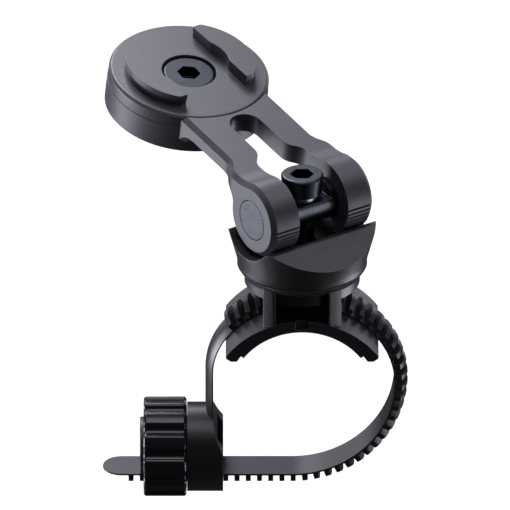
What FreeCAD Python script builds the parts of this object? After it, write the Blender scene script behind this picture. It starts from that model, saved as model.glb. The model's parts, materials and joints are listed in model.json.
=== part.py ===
"""Phone mount for a bicycle handlebar: strap-on saddle, swivel cradle, tilting arm and lock plate.

Frame: origin on the axis of the handlebar clamp, +Y along the handlebar, +Z up.
All lengths are in millimetres and all angles in degrees.
"""

import FreeCAD, Part
import math
import os
import re
import Sketcher

V = FreeCAD.Vector
R = FreeCAD.Rotation
AXIS_X, AXIS_Y, AXIS_Z = V(1, 0, 0), V(0, 1, 0), V(0, 0, 1)

# ------------------------------------------------------------------ driving dimensions

DIMENSIONS = {
    # saddle on the handlebar
    "bar_radius": 14.4,
    "pad_thickness": 0.8,
    "pad_half_angle": 53.2,
    "foot_length": 22,
    "foot_arc_radius": 18.65,
    "foot_arc_drop": 1.8,
    "foot_half_angle": 55,
    "foot_low": 8.05,
    "foot_notch_width": 2.6,
    "foot_notch_depth": 0.8,
    "foot_notch_low": 14.85,
    "channel_width": 8.6,
    "window_width": 10.54,
    "post_spread": 15.4,
    "post_reach": 12.3,
    "foot_end_round": 0.5,
    "drum_radius": 11.4,
    "lintel_height": 20.75,
    "boss_radius": 9.9,
    "boss_bottom": 19.65,
    "flange_bottom": 22.95,
    "flange_low_radius": 11.8,
    "flange_radius": 12.87,
    "flange_top": 24.65,
    # swivel cradle
    "swivel_angle": 35,
    "cradle_bottom": 24.8,
    "cradle_top": 33.1,
    "cradle_low_radius": 12.8,
    "cradle_seam_height": 26.2,
    "cradle_seam_radius": 12.9,
    "cradle_high_radius": 14.78,
    "hinge_height": 37.35,
    "seat_radius": 7.9,
    "ridge_offset": 7.2,
    "ridge_height": 32.65,
    "ridge_round": 1.3,
    "rim_offset": 13.75,
    "rim_height": 28.45,
    "ring_outer_radius": 10.6,
    "ring_inner_radius": 5.6,
    "ring_bottom": 24.05,
    "ring_clearance": 0.02,
    # M5 clamp screw and its nut
    "thread_radius": 2.5,
    "screw_hole_radius": 2.75,
    "running_gap": 0.05,
    "screw_end": 19.8,
    "screw_head_top": 44.15,
    "screw_head_bottom": 40.2,
    "screw_head_radius": 4.22,
    "screw_head_low_radius": 3.9,
    "screw_edge": 0.35,
    "hex_across": 4,
    "hex_depth": 2.4,
    "nut_across": 8,
    "nut_bottom": 19.9,
    "nut_height": 3.6,
    "collar_bottom": 38.9,
    "collar_radius": 3,
    # tilting arm, in its own frame: X along the hinge, Y along the arm, Z normal to the plate
    "arm_tilt": 10.5,
    "eye_radius": 7.5,
    "eye_inner": 5.85,
    "eye_outer": 12.15,
    "barrel_radius": 4.05,
    "barrel_flat_half": 4.6,
    "barrel_gap": 0.12,
    "neck_half_width": 10.25,
    "slot_half_width": 3.35,
    "slot_end": 24,
    "neck_bottom": 2,
    "neck_chamfer": 0.95,
    "bend_start": 7.3,
    "bend_end": 13,
    "eye_top_blend": 12,
    "eye_low_blend": 2.5,
    "cup_distance": 40.8,
    "cup_radius": 16.1,
    "cup_bottom": -2.4,
    "cup_fillet": 4.4,
    "serration_pitch": 7,
    "serration_depth": 0.5,
    "serration_count": 21,
    # lock plate and its screw
    "plate_radius": 16,
    "plate_bottom": 3.3,
    "plate_top": 6.1,
    "plate_chamfer": 0.5,
    "plate_boss_radius": 9,
    "plate_boss_bottom": 1.6,
    "plate_fit": 0.06,
    "lug_outer_radius": 13,
    "lug_neck_radius": 12.4,
    "lug_inner_offset": 7.1,
    "lug_hollow_radius": 7.9,
    "lug_top": 8.65,
    "lug_flange_thickness": 1.2,
    "lug_tip_half": 9.5,
    "lug_tip_round": 1,
    "lug_neck_tip_half": 9.3,
    "bore_radius": 5.45,
    "bore_floor": 3.1,
    "head_screw_radius": 5,
    "head_screw_edge": 0.12,
    "head_screw_top": 5.7,
    "head_screw_end": -2.2,
    "head_nut_bottom": -2.3,
    "head_nut_height": 2.6,
    # strap, drawn on the inner surface of its band
    "strap_width": 7.6,
    "band_thickness": 0.38,
    "root_thickness": 1.55,
    "root_edge_thickness": 0.25,
    "tooth_reach": 6.93,
    "tooth_root_width": 1.05,
    "tooth_tip_width": 0.9,
    "tooth_pitch": 2.23,
    "strap_floor": -20.9,
    "strap_right_radius": 16.7,
    "strap_right_angle": 35,
    "strap_left_angle": 143,
    "strap_left_radius": 13.4,
    "teeth_start_angle": 136,
    "tongue_end": -39.55,
    "tongue_radius": 3.75,
    "last_tooth": -33.93,
    "first_loop_tooth": -15.1,
    "strap_split": -15.9,
    # screw housing and knob, on an axis parallel to X
    "knob_axis_height": -16.67,
    "housing_radius": 8.9,
    "housing_left": -22.77,
    "housing_right": -15.64,
    "housing_wall": 2,
    "housing_bay_width": 10.4,
    "housing_bay_rise": 4.7,
    "housing_bay_drop": 7.1,
    "saddle_cut_x": -7.45,
    "saddle_cut_height": -8.1,
    "saddle_cut_radius": 10.1,
    "knob_left": -31.42,
    "knob_right": -22.9,
    "knob_radius": 9.9,
    "knob_edge": 0.6,
    "groove_radius": 1.15,
    "groove_offset": 10.1,
    "groove_count": 12,
    "groove_round": 0.75,
    "lobe_phase": 12.6,
    "knob_bore_radius": 8.3,
    "knob_mouth_radius": 7.2,
    "knob_end_wall": 1.3,
    "knob_recess_radius": 8.4,
    "knob_recess_depth": 0.75,
    "washer_recess_depth": 0.55,
    "washer_thickness": 0.6,
    "washer_inner_radius": 7.2,
    "worm_root_radius": 7.1,
    "worm_crest_radius": 6.1,
    "worm_ridge_width": 0.5,
    "worm_length": 5.8,
    "hub_radius": 5.85,
    "hub_flat": 4.1,
    "hub_spigot_radius": 3.5,
    "cap_left": -32.15,
    "cap_right": -30.75,
    "cap_rim_radius": 5.9,
    "cap_collar_radius": 8.15,
    "cap_collar_thickness": 0.6,
    "cap_plug_radius": 3,
    "cap_plug_length": 3,
}

doc = FreeCAD.newDocument("PhoneMount")
dims = doc.addObject("Spreadsheet::Sheet", "Dims")
for row, (alias, number) in enumerate(DIMENSIONS.items(), start=1):
    dims.set(f"A{row}", alias)
    dims.set(f"B{row}", str(number))
    dims.setAlias(f"B{row}", alias)
doc.recompute()

parts = {}


def size(alias):
    """A dimension read back from the sheet."""
    return float(dims.get(alias))


def bound(text):
    """An expression in which each dimension name points at its cell in the sheet."""
    return re.sub(r"[a-z]+(?:_[a-z]+)+", lambda word: "Dims." + word.group(0), str(text))


def bind(item, prop, text):
    item.setExpression(prop, bound(text))


def keep(item, name):
    """Register a finished sub-part under the name that its file gets."""
    item.Label = name
    parts[name] = item
    return item


# ------------------------------------------------------------------ PartDesign helpers

def new_body(name, placement=FreeCAD.Placement()):
    item = doc.addObject("PartDesign::Body", name)
    item.Placement = placement
    return keep(item, name)


def new_sketch(item, name, role, offset=0):
    """A sketch on one of the body's own origin planes, moved along that plane's normal."""
    plane = next(feature for feature in item.Origin.OriginFeatures if feature.Role == role)
    made = item.newObject("Sketcher::SketchObject", name)
    made.AttachmentSupport = [(plane, "")]
    made.MapMode = "FlatFace"
    bind(made, "AttachmentOffset.Base.z", offset)
    return made


def outline(made, corners):
    """A closed outline of straight lines, each corner bound to the sheet."""
    spots = [[float(made.evalExpression(bound(text))) for text in corner] for corner in corners]
    count = len(corners)
    for index in range(count):
        ends = spots[index], spots[(index + 1) % count]
        made.addGeometry(Part.LineSegment(*(V(x, y, 0) for x, y in ends)))
    for index in range(count):
        made.addConstraint(Sketcher.Constraint("Coincident", index, 2, (index + 1) % count, 1))
    for index, corner in enumerate(corners):
        for kind, text, number in zip(("DistanceX", "DistanceY"), corner, spots[index]):
            place = made.addConstraint(Sketcher.Constraint(kind, -1, 1, index, 1, number))
            bind(made, f"Constraints[{place}]", text)


def ring(made, radius, x=None):
    """A circle, centred on the origin or on the sketch's horizontal axis at x."""
    centre = 0 if x is None else float(made.evalExpression(bound(x)))
    number = float(made.evalExpression(bound(radius)))
    index = made.addGeometry(Part.Circle(V(centre, 0, 0), AXIS_Z, number))
    if x is None:
        made.addConstraint(Sketcher.Constraint("Coincident", index, 3, -1, 1))
    else:
        made.addConstraint(Sketcher.Constraint("PointOnObject", index, 3, -1))
        place = made.addConstraint(Sketcher.Constraint("DistanceX", -1, 1, index, 3, centre))
        bind(made, f"Constraints[{place}]", x)
    place = made.addConstraint(Sketcher.Constraint("Radius", index, number))
    bind(made, f"Constraints[{place}]", radius)


def hexagon(made, across):
    """A hexagon with a corner on the sketch's horizontal axis."""
    turns = [math.radians(60 * corner) for corner in range(6)]
    outline(made, [(f"({across}) / sqrt(3) * {math.cos(turn):.6f}",
                    f"({across}) / sqrt(3) * {math.sin(turn):.6f}") for turn in turns])


def pad(item, made, length, side="One side"):
    grown = item.newObject("PartDesign::Pad", made.Name + "_pad")
    grown.Profile = made
    grown.SideType = side
    bind(grown, "Length", length)
    made.Visibility = False
    doc.recompute()
    return grown


def pocket(item, made, length, reverse=False, side="One side"):
    """Cut the sketch out of the body, and stop if the cut removes nothing."""
    before = item.Shape.Volume
    sunk = item.newObject("PartDesign::Pocket", made.Name + "_pocket")
    sunk.Profile = made
    sunk.SideType = side
    sunk.Reversed = reverse
    bind(sunk, "Length", length)
    made.Visibility = False
    doc.recompute()
    if not item.Shape.Volume < before - 1e-3:
        raise RuntimeError(sunk.Name + " cuts nothing")
    return sunk


def revolve(item, made):
    """Turn a profile about the sketch's vertical axis."""
    turned = item.newObject("PartDesign::Revolution", made.Name + "_turn")
    turned.Profile = made
    turned.ReferenceAxis = (made, ["V_Axis"])
    turned.Angle = 360
    made.Visibility = False
    doc.recompute()
    return turned


# ------------------------------------------------------------------ Part helpers

def cylinder(name, radius, height, base=(0, 0, 0), turn=R(), angle=360):
    item = doc.addObject("Part::Cylinder", name)
    bind(item, "Radius", radius)
    bind(item, "Height", height)
    bind(item, "Angle", angle)
    item.Placement = FreeCAD.Placement(V(), turn)
    for axis, text in zip("xyz", base):
        bind(item, f"Placement.Base.{axis}", text)
    return item


def cone(name, low_radius, high_radius, height, base=(0, 0, 0), turn=R()):
    item = doc.addObject("Part::Cone", name)
    bind(item, "Radius1", low_radius)
    bind(item, "Radius2", high_radius)
    bind(item, "Height", height)
    item.Placement = FreeCAD.Placement(V(), turn)
    for axis, text in zip("xyz", base):
        bind(item, f"Placement.Base.{axis}", text)
    return item


def box(name, low, high):
    """A block between two corners, each given as three expressions."""
    item = doc.addObject("Part::Box", name)
    for prop, axis, start, end in zip(("Length", "Width", "Height"), "xyz", low, high):
        bind(item, prop, f"({end}) - ({start})")
        bind(item, f"Placement.Base.{axis}", start)
    return item


def prism(name, across, height, base):
    """A hexagonal prism, its size given across flats."""
    item = doc.addObject("Part::Prism", name)
    item.Polygon = 6
    bind(item, "Circumradius", f"({across}) / sqrt(3)")
    bind(item, "Height", height)
    for axis, text in zip("xyz", base):
        bind(item, f"Placement.Base.{axis}", text)
    return item


def fuse(name, *pieces):
    item = doc.addObject("Part::MultiFuse", name)
    item.Shapes = list(pieces)
    return item


def common(name, *pieces):
    item = doc.addObject("Part::MultiCommon", name)
    item.Shapes = list(pieces)
    return item


def cut(name, base, *tools):
    item = doc.addObject("Part::Cut", name)
    item.Base = base
    item.Tool = tools[0] if len(tools) == 1 else fuse(name + "_tools", *tools)
    return item


ALONG_X = R(AXIS_Y, 90)
ALONG_Y = R(AXIS_X, -90)


# ------------------------------------------------------------------ base_saddle

foot_blank = cylinder(
    "foot_blank", "foot_arc_radius", "foot_length", (0, "-foot_length / 2", "-foot_arc_drop"),
    ALONG_Y.multiply(R(AXIS_Z, -90 - size("foot_half_angle"))), "2 * foot_half_angle")

doc.recompute()
foot_sector = doc.addObject("Part::Fillet", "foot_sector")
foot_sector.Base = foot_blank
foot_sector.Edges = [(index, size("foot_end_round"), size("foot_end_round"))
                     for index, edge in enumerate(foot_blank.Shape.Edges, start=1)
                     if edge.BoundBox.YLength > size("foot_length") - 0.01
                     and abs(edge.BoundBox.XMax) > 1]

post_blank = common(
    "post_blank",
    cylinder("post_round", "post_reach", "flange_bottom + 0.5 - 12", (0, 0, 12)),
    box("post_span", ("-post_spread / 2", "-foot_length / 2", 0),
        ("post_spread / 2", "foot_length / 2", 40)))
saddle_head = fuse(
    "saddle_head",
    foot_sector,
    cut("posts", post_blank,
        box("post_window", ("-window_width / 2", -20, 0), ("window_width / 2", 20, 40)),
        box("strap_channel", (-20, "-channel_width / 2", 0), (20, "channel_width / 2", 40))),
    cylinder("drum", "drum_radius", "flange_bottom - lintel_height", (0, 0, "lintel_height")),
    cylinder("nut_boss", "boss_radius", "lintel_height - boss_bottom", (0, 0, "boss_bottom")),
    cone("saddle_flange", "flange_low_radius", "flange_radius", "flange_top - flange_bottom",
         (0, 0, "flange_bottom")))

drum_window = cut(
    "drum_window",
    box("window_block", ("-window_width / 2", -20, "lintel_height - 0.1"),
        ("window_width / 2", 20, "flange_bottom")),
    cylinder("window_back", "boss_radius", 10, (0, 0, "boss_bottom - 1")))
base_saddle = keep(cut(
    "base_saddle_solid",
    saddle_head,
    drum_window,
    cylinder("pad_seat", "bar_radius + pad_thickness", 60, (0, -30, 0), ALONG_Y),
    cylinder("ring_seat", "ring_outer_radius + 0.1", 5, (0, 0, "ring_bottom")),
    cylinder("saddle_bore", "screw_hole_radius", 20, (0, 0, 18)),
    prism("nut_pocket", "nut_across + 0.1", "nut_bottom + nut_height + 0.05 - 18", (0, 0, 18)),
    box("under_foot", (-20, -20, 0), (20, 20, "foot_low")),
    box("front_notch", ("-foot_notch_width / 2", -20, "foot_notch_low"),
        ("foot_notch_width / 2", "foot_notch_depth - foot_length / 2", 18)),
    box("rear_notch", ("-foot_notch_width / 2", "foot_length / 2 - foot_notch_depth",
                       "foot_notch_low"), ("foot_notch_width / 2", 20, 18))), "base_saddle")

# ------------------------------------------------------------------ bar_pad

bar_pad = keep(cut(
    "bar_pad_solid",
    cylinder("pad_sector", "bar_radius + pad_thickness", "foot_length - 0.4",
             (0, "0.2 - foot_length / 2", 0),
             ALONG_Y.multiply(R(AXIS_Z, -90 - size("pad_half_angle"))), "2 * pad_half_angle"),
    cylinder("bar", "bar_radius", 60, (0, -30, 0), ALONG_Y)), "bar_pad")

# ------------------------------------------------------------------ clamp_nut and swivel_ring

clamp_nut = new_body("clamp_nut")
sheet_of_nut = new_sketch(clamp_nut, "nut_hexagon", "XY_Plane", "nut_bottom")
hexagon(sheet_of_nut, "nut_across")
ring(sheet_of_nut, "thread_radius + running_gap")
pad(clamp_nut, sheet_of_nut, "nut_height")

swivel_ring = new_body("swivel_ring")
ring_sketch = new_sketch(swivel_ring, "ring_circles", "XY_Plane", "ring_bottom")
ring(ring_sketch, "ring_outer_radius")
ring(ring_sketch, "ring_inner_radius")
pad(swivel_ring, ring_sketch, "cradle_bottom - ring_clearance - ring_bottom")

# ------------------------------------------------------------------ cradle

swivelled = FreeCAD.Placement(V(), R(AXIS_Z, size("swivel_angle")))

cradle = new_body("cradle", swivelled)
cradle_profile = new_sketch(cradle, "cradle_profile", "XZ_Plane")
outline(cradle_profile, [
    ("screw_hole_radius", "cradle_bottom"),
    ("cradle_low_radius", "cradle_bottom"),
    ("cradle_seam_radius", "cradle_seam_height"),
    ("cradle_high_radius", "cradle_top"),
    ("screw_hole_radius", "cradle_top")])
revolve(cradle, cradle_profile)

SLOPE = "(ridge_height - rim_height) / (rim_offset - ridge_offset)"
roof = new_sketch(cradle, "cradle_roof", "YZ_Plane")
outline(roof, [
    (-20, f"ridge_height - (20 - ridge_offset) * {SLOPE}"),
    (0, f"ridge_height + ridge_offset * {SLOPE}"),
    (20, f"ridge_height - (20 - ridge_offset) * {SLOPE}"),
    (20, 45),
    (-20, 45)])
pocket(cradle, roof, 60, side="Symmetric")
seat = new_sketch(cradle, "arm_seat", "YZ_Plane")
seat.addGeometry(Part.Circle(V(0, size("hinge_height"), 0), AXIS_Z, size("seat_radius")))
seat.addConstraint(Sketcher.Constraint("PointOnObject", 0, 3, -2))
seat.addConstraint(Sketcher.Constraint("DistanceY", -1, 1, 0, 3, size("hinge_height")))
seat.addConstraint(Sketcher.Constraint("Radius", 0, size("seat_radius")))
bind(seat, "Constraints[1]", "hinge_height")
bind(seat, "Constraints[2]", "seat_radius")
pocket(cradle, seat, 60, side="Symmetric")

ridge_lines = [f"Edge{index}" for index, edge in enumerate(cradle.Shape.Edges, start=1)
               if edge.BoundBox.XLength > 5 and edge.BoundBox.ZLength < 0.01
               and edge.BoundBox.ZMin > size("ridge_height") - 0.01]
ridge = cradle.newObject("PartDesign::Fillet", "ridge_rounding")
ridge.Base = (doc.getObject("arm_seat_pocket"), ridge_lines)
bind(ridge, "Radius", "ridge_round")
doc.recompute()

# ------------------------------------------------------------------ screws, washer and barrel


def cap_screw(name, placement, head_radius, low_radius, head_top, head_bottom, end, edge):
    """A socket-head screw on its local Z axis: tapered head, plain shank and hexagon socket."""
    item = new_body(name, placement)
    profile = new_sketch(item, name + "_profile", "XZ_Plane")
    outline(profile, [
        (0, end),
        ("thread_radius - 0.4", end),
        ("thread_radius", f"({end}) + 0.4"),
        ("thread_radius", head_bottom),
        (low_radius, head_bottom),
        (head_radius, f"({head_top}) - ({edge})"),
        (f"({head_radius}) - ({edge})", head_top),
        (0, head_top)])
    revolve(item, profile)
    socket = new_sketch(item, name + "_socket", "XY_Plane", head_top)
    hexagon(socket, "hex_across")
    pocket(item, socket, "hex_depth")
    return item


# Both sockets stand with two of their corners in line with the strap, whatever the swivel.
unturned = FreeCAD.Placement(V(), R(AXIS_Z, -size("swivel_angle")))
clamp_screw = cap_screw("clamp_screw", swivelled.multiply(unturned), "screw_head_radius",
                        "screw_head_low_radius", "screw_head_top", "screw_head_bottom",
                        "screw_end", "screw_edge")

clamp_washer = new_body("clamp_washer", swivelled)
washer_sketch = new_sketch(clamp_washer, "collar_circles", "XY_Plane", "collar_bottom")
ring(washer_sketch, "collar_radius")
ring(washer_sketch, "screw_hole_radius - 0.2")
pad(clamp_washer, washer_sketch, "screw_head_bottom - collar_bottom")

at_hinge = V(0, 0, size("hinge_height"))
pivot_barrel = new_body("pivot_barrel", FreeCAD.Placement(at_hinge, R(AXIS_Z, size("swivel_angle"))))
barrel_circle = new_sketch(pivot_barrel, "barrel_circle", "YZ_Plane")
ring(barrel_circle, "barrel_radius")
pad(pivot_barrel, barrel_circle, "2 * eye_outer", "Symmetric")
flat = new_sketch(pivot_barrel, "barrel_flat", "XY_Plane", "collar_bottom - hinge_height")
outline(flat, [(f"{side_x}barrel_flat_half", f"{side_y}10")
               for side_x, side_y in (("-", "-"), ("", "-"), ("", ""), ("-", ""))])
pocket(pivot_barrel, flat, 10, reverse=True)
barrel_bore = new_sketch(pivot_barrel, "barrel_bore", "XY_Plane")
ring(barrel_bore, "screw_hole_radius - 0.1")
pocket(pivot_barrel, barrel_bore, 20, side="Symmetric")

# ------------------------------------------------------------------ arm_fork

arm_placement = FreeCAD.Placement(
    at_hinge, R(AXIS_Z, size("swivel_angle")).multiply(R(AXIS_X, size("arm_tilt"))))


def fillet_against_eye(level, radius, outside):
    """Arc that blends a level line into the eye: its ends and middle, in (along, up)."""
    rise = level + outside * radius
    reach = size("eye_radius") + radius
    along = math.sqrt(reach ** 2 - rise ** 2)
    on_line = (along, level)
    on_eye = (along * size("eye_radius") / reach, rise * size("eye_radius") / reach)
    middle = ((on_line[0] + on_eye[0]) / 2 - along, (on_line[1] + on_eye[1]) / 2 - rise)
    scale = radius / math.hypot(*middle)
    return on_line, (along + middle[0] * scale, rise + middle[1] * scale), on_eye


def profile_face(start, steps):
    """Face from a start point and steps: ("line", end) or ("arc", middle, end)."""
    edges = []
    here = V(*start)
    for step in steps:
        end = V(*step[-1])
        if step[0] == "line":
            edges.append(Part.LineSegment(here, end).toShape())
        else:
            edges.append(Part.Arc(here, V(*step[1]), end).toShape())
        here = end
    return Part.Face(Part.Wire(edges))


def arm_side_profile():
    """Arm seen along the hinge: eye, neck with its blends, and an end inside the cup."""
    radius = size("eye_radius")
    across = lambda point: (0, point[0], point[1])
    top_line, top_middle, top_eye = fillet_against_eye(
        size("plate_top"), size("eye_top_blend"), 1)
    low_line, low_middle, low_eye = fillet_against_eye(
        size("neck_bottom"), size("eye_low_blend"), -1)
    fillet = size("cup_fillet")
    cup_edge = size("cup_distance") - math.sqrt(size("cup_radius") ** 2
                                                - size("neck_half_width") ** 2)
    centre = (cup_edge - fillet, size("neck_bottom") - fillet)
    diagonal = fillet * math.sqrt(0.5)
    return profile_face(across(top_eye), [
        ("arc", (0, -radius, 0), across(low_eye)),
        ("arc", across(low_middle), across(low_line)),
        ("line", (0, centre[0], size("neck_bottom"))),
        ("arc", (0, centre[0] + diagonal, centre[1] + diagonal), (0, cup_edge, centre[1])),
        ("line", (0, size("cup_distance"), size("cup_bottom"))),
        ("line", (0, size("cup_distance"), size("plate_top"))),
        ("line", across(top_line)),
        ("arc", across(top_middle), across(top_eye))])


def smooth_bend(start, end):
    """Two equal arcs between parallel lines along the arm: their middles and ends."""
    half = V((end.x - start.x) / 2, (end.y - start.y) / 2, 0)
    lean = math.atan2(half.x, abs(half.y))
    chord = half.Length / (2 * math.cos(lean / 2))
    forward = math.copysign(chord, half.y)
    middle = start + V(chord * math.sin(lean / 2), forward * math.cos(lean / 2), 0)
    joint = start + half
    return [("arc", middle, joint), ("arc", joint * 2 - middle, end)]


def prong_plan(side):
    """One prong seen from above: it bends outward to its eye, the other prong mirrors it."""
    start, end, far = size("bend_start"), size("bend_end"), size("cup_distance")
    spot = lambda alias, y: V(side * size(alias), y, -15)
    outer = smooth_bend(spot("eye_outer", start), spot("neck_half_width", end))
    inner = smooth_bend(spot("slot_half_width", end), spot("eye_inner", start))
    return profile_face(spot("eye_outer", -9), [
        ("line", spot("eye_outer", start))] + outer + [
        ("line", spot("neck_half_width", far)),
        ("line", spot("slot_half_width", far)),
        ("line", spot("slot_half_width", end))] + inner + [
        ("line", spot("eye_inner", -9)),
        ("line", spot("eye_outer", -9))]).extrude(V(0, 0, 30))


def serration_cutter(wide):
    """Everything outside a row of V grooves, with narrow lands between, along the eye's back."""
    radius = size("eye_radius")
    pitch = math.radians(size("serration_pitch"))
    first = math.radians(180 - size("arm_tilt"))
    spot = lambda reach, turn: V(-wide / 2, reach * math.cos(turn), reach * math.sin(turn))
    points = [spot(radius + 2, first)]
    for index in range(int(size("serration_count"))):
        points.append(spot(radius + 0.001, first + index * pitch))
        points.append(spot(radius - size("serration_depth"), first + (index + 0.3) * pitch))
        points.append(spot(radius + 0.001, first + (index + 0.6) * pitch))
    last = first + size("serration_count") * pitch
    points += [spot(radius + 0.001, last), spot(radius + 2, last),
               spot(radius + 4, (first + last) / 2), points[0]]
    return Part.Face(Part.makePolygon(points)).extrude(V(wide, 0, 0))


def is_neck_rim(edge):
    """Whether an edge is the outer top edge of the neck, which runs on round the eye."""
    span = edge.BoundBox
    return (span.YLength > 20 and span.ZMin > size("plate_top") - 0.01
            and abs(span.XMin) > size("neck_half_width") - 0.01)


def arm_fork_shape():
    wide = 2 * size("eye_outer") + 2
    side = arm_side_profile().translated(V(-wide / 2, 0, 0)).extrude(V(wide, 0, 0))
    slot_centre = size("slot_end") - size("slot_half_width")
    bridge = Part.makeBox(2 * size("neck_half_width"), size("cup_distance") - slot_centre,
                          30, V(-size("neck_half_width"), slot_centre, -15))
    slot_round = Part.makeCylinder(size("slot_half_width"), 30, V(0, slot_centre, -15))
    plan = prong_plan(1).fuse([prong_plan(-1), bridge]).removeSplitter().cut(slot_round)
    arm = side.common(plan).removeSplitter()
    arm = arm.makeChamfer(size("neck_chamfer"), [edge for edge in arm.Edges if is_neck_rim(edge)])
    arm = arm.cut(serration_cutter(wide))

    over_cup = V(0, size("cup_distance"), 0)
    tall = size("plate_bottom") - size("cup_bottom")
    cup = Part.makeCylinder(size("cup_radius"), tall, over_cup + V(0, 0, size("cup_bottom")))
    cup = cup.makeChamfer(0.5, [edge for edge in cup.Edges
                                if edge.BoundBox.ZMax < size("cup_bottom") + 0.01])
    arm = arm.fuse(cup)

    fit = size("plate_fit")
    plate_room = Part.makeCylinder(size("plate_radius") + fit, 20,
                                   over_cup + V(0, 0, size("plate_bottom")))
    boss_room = Part.makeCylinder(size("plate_boss_radius") + fit, 20,
                                  over_cup + V(0, 0, size("plate_boss_bottom")))
    screw_hole = Part.makeCylinder(size("screw_hole_radius"), 30, over_cup + V(0, 0, -15))
    nut_points = [over_cup + V((size("nut_across") + 0.1) / math.sqrt(3) * math.cos(turn),
                               (size("nut_across") + 0.1) / math.sqrt(3) * math.sin(turn), -10)
                  for turn in (math.radians(60 * corner) for corner in range(7))]
    nut_room = Part.Face(Part.makePolygon(nut_points)).extrude(
        V(0, 0, 10 + size("head_nut_bottom") + size("head_nut_height") + 0.05))
    barrel_hole = Part.makeCylinder(size("barrel_radius") + size("barrel_gap"), 60,
                                    V(-30, 0, 0), AXIS_X)
    return arm.cut([plate_room, boss_room, screw_hole, nut_room, barrel_hole]).removeSplitter()


arm_fork = keep(doc.addObject("Part::Feature", "arm_fork"), "arm_fork")
arm_fork.Shape = arm_fork_shape()
arm_fork.Placement = arm_placement

# ------------------------------------------------------------------ lock_plate and its screw

head_centre = arm_placement.multVec(V(0, size("cup_distance"), 0))
head_placement = FreeCAD.Placement(head_centre, arm_placement.Rotation)

plate_disc = fuse(
    "plate_disc",
    cylinder("plate_skirt", "plate_radius", "plate_top - plate_chamfer - plate_bottom",
             (0, 0, "plate_bottom")),
    cone("plate_rim", "plate_radius", "plate_radius - plate_chamfer", "plate_chamfer",
         (0, 0, "plate_top - plate_chamfer")),
    cylinder("plate_boss", "plate_boss_radius", "plate_bottom - plate_boss_bottom",
             (0, 0, "plate_boss_bottom")))


def lug(name, side):
    """Bayonet lug: a flange on a narrower neck, straight inside with a concentric hollow."""
    near, far = ("lug_inner_offset", 20) if side > 0 else (-20, "-lug_inner_offset")
    blank = common(
        name + "_flange_blank",
        cylinder(name + "_flange_round", "lug_outer_radius", "lug_flange_thickness",
                 (0, 0, "lug_top - lug_flange_thickness")),
        box(name + "_flange_block", (near, "-lug_tip_half", 0), (far, "lug_tip_half", 20)))
    doc.recompute()
    flange = doc.addObject("Part::Fillet", name + "_flange")
    flange.Base = blank
    flange.Edges = [(index, size("lug_tip_round"), size("lug_tip_round"))
                    for index, edge in enumerate(blank.Shape.Edges, start=1)
                    if edge.BoundBox.ZLength > size("lug_flange_thickness") - 0.01
                    and abs(edge.BoundBox.XMin) > size("lug_inner_offset") + 0.5]
    neck = common(
        name + "_neck",
        cylinder(name + "_neck_round", "lug_neck_radius",
                 "lug_top - lug_flange_thickness - plate_top + 0.4", (0, 0, "plate_top - 0.4")),
        box(name + "_neck_block", (near, "-lug_neck_tip_half", 0),
            (far, "lug_neck_tip_half", 20)))
    return fuse(name, flange, neck)


lock_plate = keep(cut(
    "lock_plate_solid",
    fuse("plate_with_lugs", plate_disc, lug("right_lug", 1), lug("left_lug", -1)),
    cylinder("lug_hollow", "lug_hollow_radius", 5, (0, 0, "plate_top")),
    cylinder("head_bore", "bore_radius", 20, (0, 0, "bore_floor")),
    cylinder("head_hole", "screw_hole_radius", 20, (0, 0, -5))), "lock_plate")
lock_plate.Placement = head_placement

head_screw = cap_screw("head_screw", head_placement.multiply(unturned), "head_screw_radius",
                       "head_screw_radius", "head_screw_top", "bore_floor", "head_screw_end",
                       "head_screw_edge")

head_nut = new_body("head_nut", head_placement)
head_nut_sketch = new_sketch(head_nut, "head_nut_hexagon", "XY_Plane", "head_nut_bottom")
hexagon(head_nut_sketch, "nut_across")
ring(head_nut_sketch, "thread_radius")
pad(head_nut, head_nut_sketch, "head_nut_height")

# ------------------------------------------------------------------ strap with screw housing


def tangent_arc(radius, turn, first, last):
    """Arc of the strap that joins the arc over the saddle smoothly at this turn."""
    gap = size("foot_arc_radius") - radius
    angle = math.radians(turn)
    return (gap * math.cos(angle), gap * math.sin(angle) - size("foot_arc_drop"),
            radius, first, last)


def strap_course():
    """The four arcs of the strap's inner surface, from under the bar round to its root.

    Each arc is (centre x, centre z, radius, first angle, last angle), run anticlockwise.
    """
    right_turn, left_turn = size("strap_right_angle"), size("strap_left_angle")
    right = tangent_arc(size("strap_right_radius"), right_turn, 0, right_turn)
    top = tangent_arc(size("foot_arc_radius"), 0, right_turn, left_turn)
    left = tangent_arc(size("strap_left_radius"), left_turn, left_turn, 180)
    low_radius = right[1] - size("strap_floor")
    low = (right[0] + right[2] - low_radius, right[1], low_radius, -90, 0)
    return [low, right, top, left]


def on_arc(arc, lift, turn):
    centre_x, centre_z, radius, _, _ = arc
    angle = math.radians(turn)
    reach = radius + lift
    return V(centre_x + reach * math.cos(angle), 0, centre_z + reach * math.sin(angle))


def band_edges(arcs, lift):
    """Arc edges of the band at this height over its inner surface."""
    made = []
    for arc in arcs:
        spots = [on_arc(arc, lift, turn) for turn in (arc[3], (arc[3] + arc[4]) / 2, arc[4])]
        made.append(Part.Arc(*spots).toShape())
    return made


def across_width(face, width):
    return face.translated(V(0, -width / 2, 0)).extrude(V(0, width, 0))


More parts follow.
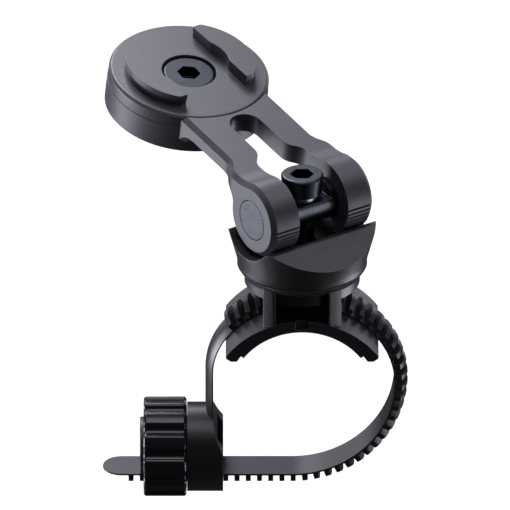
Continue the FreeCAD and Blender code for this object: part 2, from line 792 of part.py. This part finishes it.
def band(arcs, thickness, start):
    """Solid band over some arcs, run on straight from its first end to a start point."""
    first_in, first_out = on_arc(arcs[0], 0, arcs[0][3]), on_arc(arcs[0], thickness, arcs[0][3])
    last_in, last_out = on_arc(arcs[-1], 0, arcs[-1][4]), on_arc(arcs[-1], thickness, arcs[-1][4])
    near, far = V(start, 0, first_in.z), V(start, 0, first_out.z)
    edges = band_edges(arcs, 0) + band_edges(arcs, thickness) + [
        Part.makeLine(first_in, near), Part.makeLine(near, far), Part.makeLine(far, first_out),
        Part.makeLine(last_in, last_out)]
    wire = Part.Wire(Part.__sortEdges__(edges))
    return across_width(Part.Face(wire), size("strap_width"))


def tooth(at, outward):
    """One cross tooth on the band, its crest rounded so that it fits inside the worm."""
    crest_centre = size("strap_floor") - size("knob_axis_height")
    root, tip = size("tooth_root_width") / 2, size("tooth_tip_width") / 2
    low, high = size("band_thickness") / 2, crest_centre + size("tooth_reach") + 0.5
    corners = [V(-root, 0, low), V(root, 0, low), V(tip, 0, high), V(-tip, 0, high)]
    solid = across_width(Part.Face(Part.makePolygon(corners + corners[:1])), size("strap_width"))
    solid = solid.common(Part.makeCylinder(size("tooth_reach"), 4, V(-2, 0, crest_centre), AXIS_X))
    turn = math.degrees(math.atan2(outward.x, outward.z))
    solid.Placement = FreeCAD.Placement(at, R(AXIS_Y, turn))
    return solid


def root_section(at, outward):
    """Rounded section of the smooth root, on the inner surface at a point of the course."""
    half = size("strap_width") / 2
    edge, crown = size("root_edge_thickness"), size("root_thickness")
    spot = lambda y, lift: at + V(0, y, 0) + outward * lift
    return profile_face(spot(-half, 0), [
        ("line", spot(half, 0)), ("line", spot(half, edge)),
        ("arc", spot(0, crown), spot(-half, edge)), ("line", spot(-half, 0))])


def root_shape(arcs, end):
    """Smooth root of the strap over some arcs, run on straight down to a height."""
    pieces = []
    for arc in arcs:
        start = on_arc(arc, 0, arc[3])
        outward = on_arc(arc, 1, arc[3]) - start
        pieces.append(root_section(start, outward).revolve(
            V(arc[0], 0, arc[1]), V(0, -1, 0), arc[4] - arc[3]))
    last = on_arc(arcs[-1], 0, 180)
    pieces.append(root_section(last, V(-1, 0, 0)).extrude(V(0, 0, end - last.z)))
    return pieces[0].fuse(pieces[1:])


def tail_teeth():
    """Teeth of the strap's free end, from the last one on the tongue up to the split."""
    count = int((size("strap_split") - size("last_tooth")) / size("tooth_pitch") + 0.6)
    return [tooth(V(size("last_tooth") + index * size("tooth_pitch"), 0, size("strap_floor")),
                  V(0, 0, -1)) for index in range(count)]


def loop_teeth():
    """Teeth of the loop: along the straight run beside the housing, then over its arcs."""
    pitch = size("tooth_pitch")
    low, right, top, _ = strap_course()
    made = []
    along = size("first_loop_tooth")
    while along <= low[0]:
        made.append(tooth(V(along, 0, size("strap_floor")), V(0, 0, -1)))
        along += pitch
    travelled = along - low[0]
    for arc in (low, right, top[:4] + (size("teeth_start_angle"),)):
        reach = arc[2] + size("band_thickness")
        length = math.radians(arc[4] - arc[3]) * reach
        while travelled <= length:
            turn = arc[3] + math.degrees(travelled / reach)
            start = on_arc(arc, 0, turn)
            made.append(tooth(start, on_arc(arc, 1, turn) - start))
            travelled += pitch
        travelled -= length
    return made


def strap_shape():
    """Loop of the strap from the split round to its root, in one with the screw housing."""
    course = strap_course()
    low, right, top, left = course
    split = size("strap_split")
    toothed_top = top[:4] + (size("teeth_start_angle"),)
    smooth_top = top[:3] + (size("teeth_start_angle"), top[4])
    loop = band([low, right, toothed_top], size("band_thickness"), split)
    root = root_shape([smooth_top, left], size("knob_axis_height") + size("housing_radius") - 2)

    axis = size("knob_axis_height")
    length = size("housing_right") - size("housing_left")
    barrel = Part.makeCylinder(size("housing_radius"), length,
                               V(size("housing_left"), 0, axis), AXIS_X)
    width = size("housing_bay_width")
    drop = size("housing_bay_drop")
    bay = Part.makeBox(20, width, drop + size("housing_bay_rise"),
                       V(size("housing_left") + size("housing_wall"), -width / 2, axis - drop))
    hollow = Part.makeCylinder(size("saddle_cut_radius"), 60,
                               V(size("saddle_cut_x"), -30, size("saddle_cut_height")), AXIS_Y)
    slot = Part.makeBox(6, size("strap_width") + 0.8, drop - size("hub_flat"),
                        V(size("housing_left") - 1, -size("strap_width") / 2 - 0.4, axis - drop))
    spigot_hole = Part.makeCylinder(size("hub_spigot_radius"), 6,
                                    V(size("housing_left") - 1, 0, axis), AXIS_X)
    housing = barrel.cut([bay, hollow, slot, spigot_hole])
    return housing.fuse([root.cut(bay), loop] + loop_teeth()).removeSplitter()


def strap_tail_shape():
    """Free end of the strap, from the split out through the knob to its rounded tongue."""
    left, split = size("tongue_end"), size("strap_split")
    floor, width = size("strap_floor"), size("strap_width")
    corner = size("tongue_radius")
    tongue = Part.makeBox(split - left - 0.05, width, size("band_thickness"),
                          V(left, -width / 2, floor - size("band_thickness")))
    upright = [edge for edge in tongue.Edges
               if edge.BoundBox.ZLength > 0.1 and edge.BoundBox.XMax < left + 0.01]
    tongue = tongue.makeFillet(corner, upright)
    return tongue.fuse(tail_teeth()).removeSplitter()


strap = keep(doc.addObject("Part::Feature", "strap"), "strap")
strap.Shape = strap_shape()
strap_tail = keep(doc.addObject("Part::Feature", "strap_tail"), "strap_tail")
strap_tail.Shape = strap_tail_shape()

# ------------------------------------------------------------------ knob, worm sleeve and hub


def on_knob_axis(start):
    """Placement whose local Z runs along +X on the knob's axis, from a point of that axis."""
    return FreeCAD.Placement(V(size(start), 0, size("knob_axis_height")), ALONG_X)


knob_grip = new_body("knob_grip", on_knob_axis("knob_left"))
grip_circle = new_sketch(knob_grip, "grip_circle", "XY_Plane")
ring(grip_circle, "knob_radius")
pad(knob_grip, grip_circle, "knob_right - knob_left")
groove_sketch = new_sketch(knob_grip, "grip_groove", "XY_Plane", -1)
bind(groove_sketch, "AttachmentOffset.Rotation.Angle", "lobe_phase")
ring(groove_sketch, "groove_radius", "groove_offset")
groove = pocket(knob_grip, groove_sketch, "knob_right - knob_left + 2", reverse=True)
pattern = knob_grip.newObject("PartDesign::PolarPattern", "grip_grooves")
pattern.Originals = [groove]
pattern.Axis = (groove_sketch, ["N_Axis"])
pattern.Angle = 360
bind(pattern, "Occurrences", "groove_count")
knob_grip.Tip = pattern
doc.recompute()
for step_name, radius, chosen in (
        ("lobe_rounding", "groove_round", lambda edge: edge.BoundBox.ZLength > 1),
        ("end_rounding", "knob_edge", lambda edge: edge.BoundBox.ZLength < 0.01)):
    before = knob_grip.Tip
    rounding = knob_grip.newObject("PartDesign::Fillet", step_name)
    rounding.Base = (before, [f"Edge{index}" for index, edge in enumerate(before.Shape.Edges, 1)
                              if chosen(edge)])
    bind(rounding, "Radius", radius)
    knob_grip.Tip = rounding
    doc.recompute()
for step_name, radius, start, depth in (
        ("knob_mouth", "knob_mouth_radius", -1, 40),
        ("cap_recess", "knob_recess_radius", -1, "knob_recess_depth + 1"),
        ("worm_bore", "knob_bore_radius", "knob_end_wall + knob_recess_depth", 40)):
    step_sketch = new_sketch(knob_grip, step_name, "XY_Plane", start)
    ring(step_sketch, radius)
    pocket(knob_grip, step_sketch, depth, reverse=True)


def worm_sleeve_shape():
    """Threaded bush in local frame: right-hand ridge inside, which meets the strap's teeth."""
    length = size("worm_length")
    root, crest = size("worm_root_radius"), size("worm_crest_radius")
    half = size("worm_ridge_width") / 2
    pitch = size("tooth_pitch")
    turns_long = length + 2 * pitch
    helix = Part.makeHelix(pitch, turns_long, root)
    section = Part.makePolygon([V(root + 0.3, 0, -half - 0.1), V(root + 0.3, 0, half + 0.1),
                                V(crest, 0, half), V(crest, 0, -half),
                                V(root + 0.3, 0, -half - 0.1)])
    ridge_solid = Part.Wire(helix).makePipeShell([section], True, True)
    ridge_solid.translate(V(0, 0, -pitch))
    tube = Part.makeCylinder(size("knob_bore_radius"), length).cut(
        Part.makeCylinder(root, length))
    inside = Part.makeCylinder(size("knob_bore_radius") - 0.2, length)
    return tube.fuse(ridge_solid.common(inside))


worm_start = size("knob_left") + size("knob_end_wall") + size("knob_recess_depth") + 0.02
ridge_x = size("last_tooth") + size("tooth_pitch") / 2
worm_sleeve = keep(doc.addObject("Part::Feature", "worm_sleeve"), "worm_sleeve")
worm_sleeve.Shape = worm_sleeve_shape()
# The ridge passes a point straight below the axis once a turn: the sleeve is turned so that
# it does so midway between two teeth.
bottom_lag = ((ridge_x - worm_start) / size("tooth_pitch")) % 1 * 360
worm_sleeve.Placement = FreeCAD.Placement(
    V(worm_start, 0, size("knob_axis_height")), ALONG_X.multiply(R(AXIS_Z, -bottom_lag)))

knob_washer = new_body("knob_washer", on_knob_axis("knob_right"))
thrust_sketch = new_sketch(knob_washer, "thrust_circles", "XY_Plane", "-washer_recess_depth")
ring(thrust_sketch, "knob_bore_radius - 0.1")
ring(thrust_sketch, "washer_inner_radius")
pad(knob_washer, thrust_sketch, "washer_thickness")


def flat_cutter(name):
    """Cutter that leaves a flat on a round piece, parallel to the strap under it."""
    return box(name, (-60, -20, -60), (0, 20, "knob_axis_height - hub_flat"))


def hub_round(name, radius, left, right):
    return cylinder(name, radius, f"({right}) - ({left})", (left, 0, "knob_axis_height"), ALONG_X)


knob_hub = keep(cut(
    "knob_hub_solid",
    fuse("hub_blank",
         hub_round("hub_core", "hub_radius", "cap_right", "housing_left"),
         hub_round("hub_spigot", "hub_spigot_radius", "housing_left",
                   "housing_left + housing_wall")),
    flat_cutter("hub_flat_cutter"),
    hub_round("hub_socket", "cap_plug_radius", "cap_right - 1",
              "cap_right + cap_plug_length + 0.2")), "knob_hub")

hub_cap = keep(cut(
    "hub_cap_solid",
    fuse("cap_blank",
         hub_round("cap_rim", "cap_rim_radius", "cap_left", "cap_right"),
         hub_round("cap_collar", "cap_collar_radius", "cap_right - cap_collar_thickness",
                   "cap_right"),
         hub_round("cap_plug", "cap_plug_radius", "cap_right", "cap_right + cap_plug_length")),
    flat_cutter("cap_flat_cutter")), "hub_cap")

# ------------------------------------------------------------------ check and write

doc.recompute()
for item in doc.Objects:
    if {"Invalid", "Error"} & set(item.State):
        raise RuntimeError(f"{item.Label}: {item.State}")
os.makedirs("parts", exist_ok=True)
for name, item in parts.items():
    shape = item.Shape
    if shape.isNull() or not shape.isValid() or not shape.Solids:
        raise RuntimeError(name + " has no valid solid")
    shape.exportStep(f"parts/{name}.step")
    print(f"{name}: {len(shape.Solids)} solid, {shape.Volume:.1f} mm3")
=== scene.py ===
"""Looks of the handlebar phone mount: refined meshes, materials, soft studio light and camera.

Everything is in metres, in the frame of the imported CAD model: +Y along the handlebar, +Z up.
"""

import json
import math

import bmesh
import bpy
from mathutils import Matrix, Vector

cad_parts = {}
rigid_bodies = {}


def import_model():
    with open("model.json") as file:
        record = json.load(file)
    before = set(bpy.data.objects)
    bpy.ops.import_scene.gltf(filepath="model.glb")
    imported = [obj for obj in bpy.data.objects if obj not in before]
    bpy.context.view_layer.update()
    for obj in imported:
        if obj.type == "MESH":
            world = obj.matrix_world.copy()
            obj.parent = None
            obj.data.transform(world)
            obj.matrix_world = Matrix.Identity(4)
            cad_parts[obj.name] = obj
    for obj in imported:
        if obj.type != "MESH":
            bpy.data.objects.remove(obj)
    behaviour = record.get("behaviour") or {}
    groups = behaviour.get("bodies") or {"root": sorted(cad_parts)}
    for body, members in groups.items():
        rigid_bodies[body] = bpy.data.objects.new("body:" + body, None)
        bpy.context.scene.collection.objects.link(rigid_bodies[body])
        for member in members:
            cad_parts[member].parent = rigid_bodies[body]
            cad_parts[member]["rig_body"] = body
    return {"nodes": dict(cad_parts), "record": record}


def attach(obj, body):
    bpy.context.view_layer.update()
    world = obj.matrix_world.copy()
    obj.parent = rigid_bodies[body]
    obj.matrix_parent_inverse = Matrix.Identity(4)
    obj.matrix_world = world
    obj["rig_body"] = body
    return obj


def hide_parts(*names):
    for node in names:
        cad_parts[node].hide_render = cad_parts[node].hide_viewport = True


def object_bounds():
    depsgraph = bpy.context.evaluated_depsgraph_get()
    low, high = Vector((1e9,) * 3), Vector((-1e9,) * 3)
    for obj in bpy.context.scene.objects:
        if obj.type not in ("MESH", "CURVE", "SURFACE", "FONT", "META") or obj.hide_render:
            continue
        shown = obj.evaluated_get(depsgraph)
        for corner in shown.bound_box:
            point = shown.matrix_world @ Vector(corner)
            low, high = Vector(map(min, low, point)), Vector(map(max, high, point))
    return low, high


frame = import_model()
cad_low, cad_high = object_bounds()

MM = 0.001
SHARP_ANGLE = math.radians(28)
FLAT_ANGLE = math.radians(0.2)

# ------------------------------------------------------------------ meshes


def refined(node, width):
    """A copy of a CAD node with rounded edges, riding on the node's own body."""
    source = frame["nodes"][node]
    piece = source.copy()
    piece.data = source.data.copy()
    piece.name = piece.data.name = "look_" + node
    piece.parent = None
    for key in list(piece.keys()):
        del piece[key]
    bpy.context.scene.collection.objects.link(piece)
    mesh = bmesh.new()
    mesh.from_mesh(piece.data)
    bmesh.ops.remove_doubles(mesh, verts=mesh.verts, dist=0.002 * MM)
    bmesh.ops.dissolve_limit(mesh, angle_limit=FLAT_ANGLE, verts=mesh.verts, edges=mesh.edges)
    for face in mesh.faces:
        face.smooth = True
    for edge in mesh.edges:
        edge.smooth = edge.calc_face_angle(0) < SHARP_ANGLE
    mesh.to_mesh(piece.data)
    mesh.free()
    piece.data.update()
    if width:
        bevel = piece.modifiers.new("rounded edges", "BEVEL")
        bevel.width = width * MM
        bevel.segments = 2
        bevel.limit_method = "ANGLE"
        bevel.angle_limit = SHARP_ANGLE
        bevel.miter_outer = "MITER_ARC"
        bevel.use_clamp_overlap = True
    weigh = piece.modifiers.new("face normals", "WEIGHTED_NORMAL")
    weigh.keep_sharp = True
    weigh.weight = 80
    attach(piece, source["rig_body"])
    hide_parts(node)
    return piece


# ------------------------------------------------------------------ materials


class Nodes:
    """A material's node tree, with short calls for the nodes that are used here."""

    def __init__(self, name):
        self.material = bpy.data.materials.new(name)
        self.material.use_nodes = True
        self.tree = self.material.node_tree
        self.shader = self.tree.nodes["Principled BSDF"]
        self.place = self.tree.nodes.new("ShaderNodeTexCoord").outputs["Object"]

    def link(self, source, target):
        self.tree.links.new(source, target)

    def noise(self, size_mm, detail=3, stretch=(1, 1, 1)):
        """Noise with features of about this size, stretched along the axes."""
        mapping = self.tree.nodes.new("ShaderNodeMapping")
        mapping.inputs["Scale"].default_value = [1 / (factor * size_mm * MM) for factor in stretch]
        node = self.tree.nodes.new("ShaderNodeTexNoise")
        node.inputs["Scale"].default_value = 1
        node.inputs["Detail"].default_value = detail
        self.link(self.place, mapping.inputs["Vector"])
        self.link(mapping.outputs["Vector"], node.inputs["Vector"])
        return node.outputs["Fac"]

    def remap(self, value, low, high, start=0.3, end=0.7):
        """A value from start to end turned into one from low to high."""
        node = self.tree.nodes.new("ShaderNodeMapRange")
        for name, number in (("From Min", start), ("From Max", end),
                             ("To Min", low), ("To Max", high)):
            node.inputs[name].default_value = number
        self.link(value, node.inputs["Value"])
        return node.outputs["Result"]

    def math(self, operation, first, second):
        node = self.tree.nodes.new("ShaderNodeMath")
        node.operation = operation
        for socket, value in zip(node.inputs, (first, second)):
            if isinstance(value, (int, float)):
                socket.default_value = value
            else:
                self.link(value, socket)
        return node.outputs["Value"]

    def mix(self, factor, first, second):
        """Blend of two colours."""
        node = self.tree.nodes.new("ShaderNodeMix")
        node.data_type = "RGBA"
        self.link(factor, node.inputs["Factor"])
        for socket, value in ((node.inputs["A"], first), (node.inputs["B"], second)):
            if isinstance(value, tuple):
                socket.default_value = (*value, 1)
            else:
                self.link(value, socket)
        return node.outputs["Result"]

    def edges(self, radius_mm):
        """Mask that is 1 on sharp edges and 0 on open faces."""
        rounded = self.tree.nodes.new("ShaderNodeBevel")
        rounded.samples = 6
        rounded.inputs["Radius"].default_value = radius_mm * MM
        flat = self.tree.nodes.new("ShaderNodeNewGeometry")
        product = self.tree.nodes.new("ShaderNodeVectorMath")
        product.operation = "DOT_PRODUCT"
        self.link(rounded.outputs["Normal"], product.inputs[0])
        self.link(flat.outputs["Normal"], product.inputs[1])
        return self.remap(product.outputs["Value"], 1, 0, start=0.92, end=0.995)

    def bump(self, height, depth_mm):
        node = self.tree.nodes.new("ShaderNodeBump")
        node.inputs["Distance"].default_value = depth_mm * MM
        self.link(height, node.inputs["Height"])
        return node.outputs["Normal"]


def scaled(colour, factor):
    return tuple(channel * factor for channel in colour)


def moulded(name, colour, rough, spread=0.02, grain_mm=0.22, grain_depth=0.004, painted_edge_highlight=0.5):
    """Moulded plastic: clouded tone, fine grain, and a painted highlight that makes sharp edges
    paler; the edges are also a little smoother.
    """
    make = Nodes(name)
    cloud = make.remap(make.noise(6), 0, 1)
    speckle = make.remap(make.noise(0.35, detail=4), 0, 1)
    tone = make.mix(cloud, scaled(colour, 0.94), scaled(colour, 1.06))
    tone = make.mix(make.math("MULTIPLY", speckle, 0.35), tone, scaled(colour, 1.25))
    # painted highlight: sharp edges are lightened to stand in for light caught by their rounded
    # faces
    edge = make.math("MULTIPLY", make.edges(0.35), painted_edge_highlight)
    make.link(make.mix(edge, tone, scaled(colour, 2.8)), make.shader.inputs["Base Color"])
    streaks = make.remap(make.noise(3, stretch=(1, 1, 0.4)), rough - spread, rough + spread)
    make.link(make.math("SUBTRACT", streaks, make.math("MULTIPLY", edge, 0.10)),
              make.shader.inputs["Roughness"])
    make.link(make.bump(make.noise(grain_mm, detail=4), grain_depth), make.shader.inputs["Normal"])
    return make.material


def metal(name, colour, rough, brushed=(1, 1, 1), painted_edge_highlight=0.4):
    """Metal with faint machining marks and a painted highlight that makes the edges slightly
    brighter.
    """
    make = Nodes(name)
    make.shader.inputs["Metallic"].default_value = 1
    marks = make.noise(0.25, detail=5, stretch=brushed)
    cloud = make.remap(make.noise(2.5), 0, 1)
    tone = make.mix(cloud, scaled(colour, 0.9), scaled(colour, 1.1))
    # painted highlight: edges are lightened to stand in for light caught by their rounded faces
    edge = make.math("MULTIPLY", make.edges(0.15), painted_edge_highlight)
    make.link(make.mix(edge, tone, scaled(colour, 2)), make.shader.inputs["Base Color"])
    make.link(make.remap(marks, rough * 0.9, rough * 1.12), make.shader.inputs["Roughness"])
    make.link(make.bump(marks, 0.0006), make.shader.inputs["Normal"])
    return make.material


# Finishes by material slot; the last number on the body and strap plastics sets the strength of
# their painted edge highlight.
FINISHES = {
    "body_plastic": moulded("satin body plastic", (0.017, 0.017, 0.019), 0.38, painted_edge_highlight=1),
    "arm_plastic": moulded("satin arm plastic", (0.052, 0.052, 0.058), 0.38),
    "strap_plastic": moulded("strap plastic", (0.018, 0.018, 0.020), 0.36, painted_edge_highlight=0.35),
    "knob_plastic": moulded("knob plastic", (0.012, 0.012, 0.014), 0.20, grain_depth=0.001),
    "core_plastic": moulded("core plastic", (0.028, 0.028, 0.030), 0.38),
    "pad_rubber": moulded("pad rubber", (0.020, 0.020, 0.021), 0.65, grain_depth=0.008),
    "black_screw_steel": metal("black oxide steel", (0.044, 0.047, 0.053), 0.34),
    "barrel_aluminium": metal("anodised barrel", (0.088, 0.092, 0.102), 0.26),
    "plain_steel": metal("zinc plated steel", (0.45, 0.45, 0.46), 0.3),
}


def dress(piece, slot):
    """Give a piece the finish of a material slot of the record."""
    piece.data.materials.clear()
    piece.data.materials.append(FINISHES[slot])


slots = {entry["node"]: entry["material_slot"] for entry in frame["record"]["subparts"]}
ROUNDING = {
    "base_saddle": 0.22, "cradle": 0.5, "arm_fork": 0.22, "lock_plate": 0.25, "strap": 0.10,
    "strap_tail": 0.10, "knob_grip": 0.12, "hub_cap": 0.5, "knob_hub": 0.1, "bar_pad": 0.2,
    "clamp_screw": 0.15, "head_screw": 0.12, "pivot_barrel": 0.2, "clamp_washer": 0.1,
    "knob_washer": 0.05, "worm_sleeve": 0, "swivel_ring": 0.05, "clamp_nut": 0.2, "head_nut": 0.2,
}
for node, width in ROUNDING.items():
    dress(refined(node, width), slots[node])

# ------------------------------------------------------------------ floor, light and camera

FLOOR_DROP = 300 * MM
floor_height = cad_low[2] - FLOOR_DROP


def pale_floor():
    """Pale floor that neither lights the object nor shows in it."""
    mesh = bmesh.new()
    bmesh.ops.create_grid(mesh, x_segments=1, y_segments=1, size=3)
    data = bpy.data.meshes.new("floor")
    mesh.to_mesh(data)
    mesh.free()
    floor = bpy.data.objects.new("floor", data)
    floor.location = (0, 0, floor_height)
    bpy.context.scene.collection.objects.link(floor)
    make = Nodes("pale floor")
    make.link(make.mix(make.remap(make.noise(40), 0, 1), (0.86, 0.86, 0.86), (0.88, 0.88, 0.88)),
              make.shader.inputs["Base Color"])
    make.shader.inputs["Roughness"].default_value = 0.9
    make.shader.inputs["Specular IOR Level"].default_value = 0.2
    data.materials.append(make.material)
    floor.visible_diffuse = floor.visible_glossy = False
    return floor


def floor_light(floor, strength):
    """Even light from above that falls on the floor alone, so the floor is pale from every side."""
    light = bpy.data.lights.new("floor light", "SUN")
    light.energy = strength
    light.use_shadow = False
    lamp = bpy.data.objects.new("floor light", light)
    lit = bpy.data.collections.new("lit by the floor light")
    lit.objects.link(floor)
    lamp.light_linking.receiver_collection = lit
    bpy.context.scene.collection.objects.link(lamp)


def softbox(name, place, aim, radiance):
    """Square panel light of a given radiance, facing a point."""
    light = bpy.data.lights.new(name, "AREA")
    light.shape = "SQUARE"
    light.size = PANEL_SIZE
    light.energy = radiance * math.pi * PANEL_SIZE ** 2
    light.color = PANEL_TINT
    light.spread = PANEL_SPREAD
    lamp = bpy.data.objects.new(name, light)
    lamp.location = place
    lamp.rotation_euler = (Vector(aim) - Vector(place)).to_track_quat("-Z", "Y").to_euler()
    lamp.visible_camera = False
    bpy.context.scene.collection.objects.link(lamp)


def studio_world(radiance):
    world = bpy.data.worlds.new("studio")
    world.use_nodes = True
    world.node_tree.nodes["Background"].inputs["Color"].default_value = (1, 1, 1, 1)
    world.node_tree.nodes["Background"].inputs["Strength"].default_value = radiance
    bpy.context.scene.world = world


# Soft panels round the object: azimuth (0 is the camera's side, 90 the right), elevation and
# radiance. The side and low panels light the flanks, the high ones the top faces.
PANELS = {
    "left": (263, -5, 2.6), "low left": (263, -40, 0.4), "low right": (97, -25, 1.3),
    "back left": (210, 5, 0.2), "back right": (152, 5, 0.25), "high back": (203, 46, 2.85),
    "high back right": (130, 57, 0.2), "high right": (90, 55, 0.3), "overhead": (0, 82, 0.5),
    "high front": (0, 62, 0.09), "low front right": (60, -15, 0.32),
}
PANEL_DISTANCE, PANEL_SIZE = 0.40, 0.22
PANEL_SPREAD = math.radians(80)
PANEL_TINT = (0.96, 0.96, 1.08)
FLOOR_LIGHT = 4
WORLD_RADIANCE = 0.03
object_middle = Vector((0, 0, 30 * MM))
for name, (azimuth, elevation, radiance) in PANELS.items():
    turn, rise = math.radians(azimuth), math.radians(elevation)
    outward = Vector((math.sin(turn) * math.cos(rise), -math.cos(turn) * math.cos(rise),
                      math.sin(rise)))
    softbox(name, object_middle + PANEL_DISTANCE * outward, object_middle, radiance)
floor_light(pale_floor(), FLOOR_LIGHT)
studio_world(WORLD_RADIANCE)

CAMERA_ELEVATION = math.radians(27.3)
CAMERA_DISTANCE = 2.5
SENSOR_MM = 36
FRAME_WIDTH = 100.6 * MM
aim = Vector((-9.3 * MM, 0, 26.1 * MM))
lens = bpy.data.cameras.new("camera")
lens.sensor_width = SENSOR_MM
lens.lens = SENSOR_MM * CAMERA_DISTANCE / FRAME_WIDTH
lens.clip_end = 20
camera = bpy.data.objects.new("camera", lens)
camera.location = aim + CAMERA_DISTANCE * Vector(
    (0, -math.cos(CAMERA_ELEVATION), math.sin(CAMERA_ELEVATION)))
camera.rotation_euler = (math.pi / 2 - CAMERA_ELEVATION, 0, 0)
bpy.context.scene.collection.objects.link(camera)
bpy.context.scene.camera = camera
bpy.context.scene.view_settings.view_transform = "Standard"
